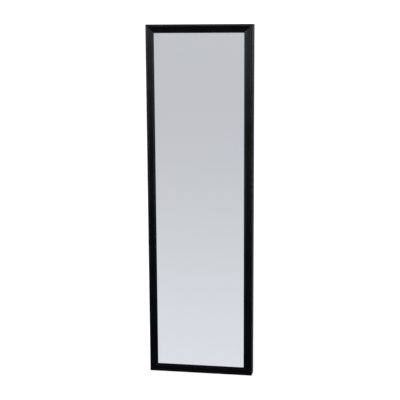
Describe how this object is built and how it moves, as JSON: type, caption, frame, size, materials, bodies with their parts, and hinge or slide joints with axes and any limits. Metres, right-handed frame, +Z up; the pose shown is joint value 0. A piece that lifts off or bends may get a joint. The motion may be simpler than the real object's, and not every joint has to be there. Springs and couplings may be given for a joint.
{
  "type": "pull-out closet mirror",
  "caption": "Tall mirror in a deep mitred black frame that pulls out of a closet on two full-extension ball slides and swivels a quarter turn on vertical hinges.",
  "frame": {"origin": "on the closet panel plane, on the upper slide's centre line, in line with the middle of the mirror's width", "axes": "+Y into the panel it is screwed to, -Y the way the stowed mirror faces, +X the way it pulls out, +Z up"},
  "size_m": [0.365, 0.0688, 1.22],
  "materials": {
    "frame_black": "satin black coating on an extrusion",
    "key_grey": "die cast",
    "mirror_silver": "silvered float glass",
    "foam_white": "foam sheet",
    "board_brown": "hardboard",
    "zinc_steel": "bright zinc plate",
    "post_black": "powder coat",
    "cage_black": "moulded",
    "nylon_white": "moulded nylon",
    "rubber_black": "matt",
    "screw_steel": "zinc plate"
  },
  "bodies": {
    "cabinet_members": {"upper_slide_cabinet_member": "zinc_steel", "lower_slide_cabinet_member": "zinc_steel"},
    "upper_outer_ball_cage": {"upper_slide_outer_ball_cage": "cage_black"},
    "lower_outer_ball_cage": {"lower_slide_outer_ball_cage": "cage_black"},
    "upper_middle_member": {"upper_slide_middle_member": "zinc_steel"},
    "lower_middle_member": {"lower_slide_middle_member": "zinc_steel"},
    "upper_inner_ball_cage": {"upper_slide_inner_ball_cage": "cage_black"},
    "lower_inner_ball_cage": {"lower_slide_inner_ball_cage": "cage_black"},
    "carriage": {"carriage_post": "post_black", "upper_slide_inner_member": "zinc_steel", "lower_slide_inner_member": "zinc_steel", "upper_slide_post_screw_rear": "screw_steel", "upper_slide_post_screw_front": "screw_steel", "lower_slide_post_screw_rear": "screw_steel", "lower_slide_post_screw_front": "screw_steel", "upper_hinge_post_leaf": "zinc_steel", "upper_hinge_pin": "zinc_steel", "upper_hinge_top_washer": "nylon_white", "upper_hinge_bottom_washer": "nylon_white", "upper_hinge_post_screw_top": "screw_steel", "upper_hinge_post_screw_bottom": "screw_steel", "lower_hinge_post_leaf": "zinc_steel", "lower_hinge_pin": "zinc_steel", "lower_hinge_top_washer": "nylon_white", "lower_hinge_bottom_washer": "nylon_white", "lower_hinge_post_screw_top": "screw_steel", "lower_hinge_post_screw_bottom": "screw_steel", "upper_rest_bumper": "rubber_black", "lower_rest_bumper": "rubber_black"},
    "framed_mirror": {"trailing_stile": "frame_black", "top_rail": "frame_black", "leading_stile": "frame_black", "bottom_rail": "frame_black", "corner_key_bottom_trailing": "key_grey", "corner_key_top_trailing": "key_grey", "corner_key_top_leading": "key_grey", "corner_key_bottom_leading": "key_grey", "mirror_glass": "mirror_silver", "foam_sheet": "foam_white", "back_panel": "board_brown", "panel_clip_trailing_top": "zinc_steel", "panel_clip_trailing_middle": "zinc_steel", "panel_clip_trailing_bottom": "zinc_steel", "panel_clip_leading_top": "zinc_steel", "panel_clip_leading_middle": "zinc_steel", "panel_clip_leading_bottom": "zinc_steel", "clip_screw_trailing_top": "screw_steel", "clip_screw_trailing_middle": "screw_steel", "clip_screw_trailing_bottom": "screw_steel", "clip_screw_leading_top": "screw_steel", "clip_screw_leading_middle": "screw_steel", "clip_screw_leading_bottom": "screw_steel", "upper_hinge_frame_leaf": "zinc_steel", "upper_hinge_frame_screw_top": "screw_steel", "upper_hinge_frame_screw_bottom": "screw_steel", "lower_hinge_frame_leaf": "zinc_steel", "lower_hinge_frame_screw_top": "screw_steel", "lower_hinge_frame_screw_bottom": "screw_steel"}
  },
  "joints": [
    {"name": "pull_out", "type": "slide", "parent": "cabinet_members", "child": "carriage", "axis": [1, 0, 0], "range_m": [0, 0.35]},
    {"name": "upper_middle_travel", "type": "slide", "parent": "cabinet_members", "child": "upper_middle_member", "axis": [1, 0, 0], "range_m": [0, 0.175]},
    {"name": "lower_middle_travel", "type": "slide", "parent": "cabinet_members", "child": "lower_middle_member", "axis": [1, 0, 0], "range_m": [0, 0.175]},
    {"name": "upper_outer_cage_travel", "type": "slide", "parent": "cabinet_members", "child": "upper_outer_ball_cage", "axis": [1, 0, 0], "range_m": [0, 0.0875]},
    {"name": "lower_outer_cage_travel", "type": "slide", "parent": "cabinet_members", "child": "lower_outer_ball_cage", "axis": [1, 0, 0], "range_m": [0, 0.0875]},
    {"name": "upper_inner_cage_travel", "type": "slide", "parent": "cabinet_members", "child": "upper_inner_ball_cage", "axis": [1, 0, 0], "range_m": [0, 0.2625]},
    {"name": "lower_inner_cage_travel", "type": "slide", "parent": "cabinet_members", "child": "lower_inner_ball_cage", "axis": [1, 0, 0], "range_m": [0, 0.2625]},
    {"name": "mirror_swivel", "type": "hinge", "parent": "carriage", "child": "framed_mirror", "pos_m": [0.1735, -0.0127, -0.38], "axis": [0, 0, 1], "range_deg": [0, 90]}
  ],
  "couplings": [
    {"joint": "upper_middle_travel", "follows": "pull_out", "ratio": 0.5},
    {"joint": "lower_middle_travel", "follows": "pull_out", "ratio": 0.5},
    {"joint": "upper_outer_cage_travel", "follows": "pull_out", "ratio": 0.25},
    {"joint": "lower_outer_cage_travel", "follows": "pull_out", "ratio": 0.25},
    {"joint": "upper_inner_cage_travel", "follows": "pull_out", "ratio": 0.75},
    {"joint": "lower_inner_cage_travel", "follows": "pull_out", "ratio": 0.75}
  ]
}
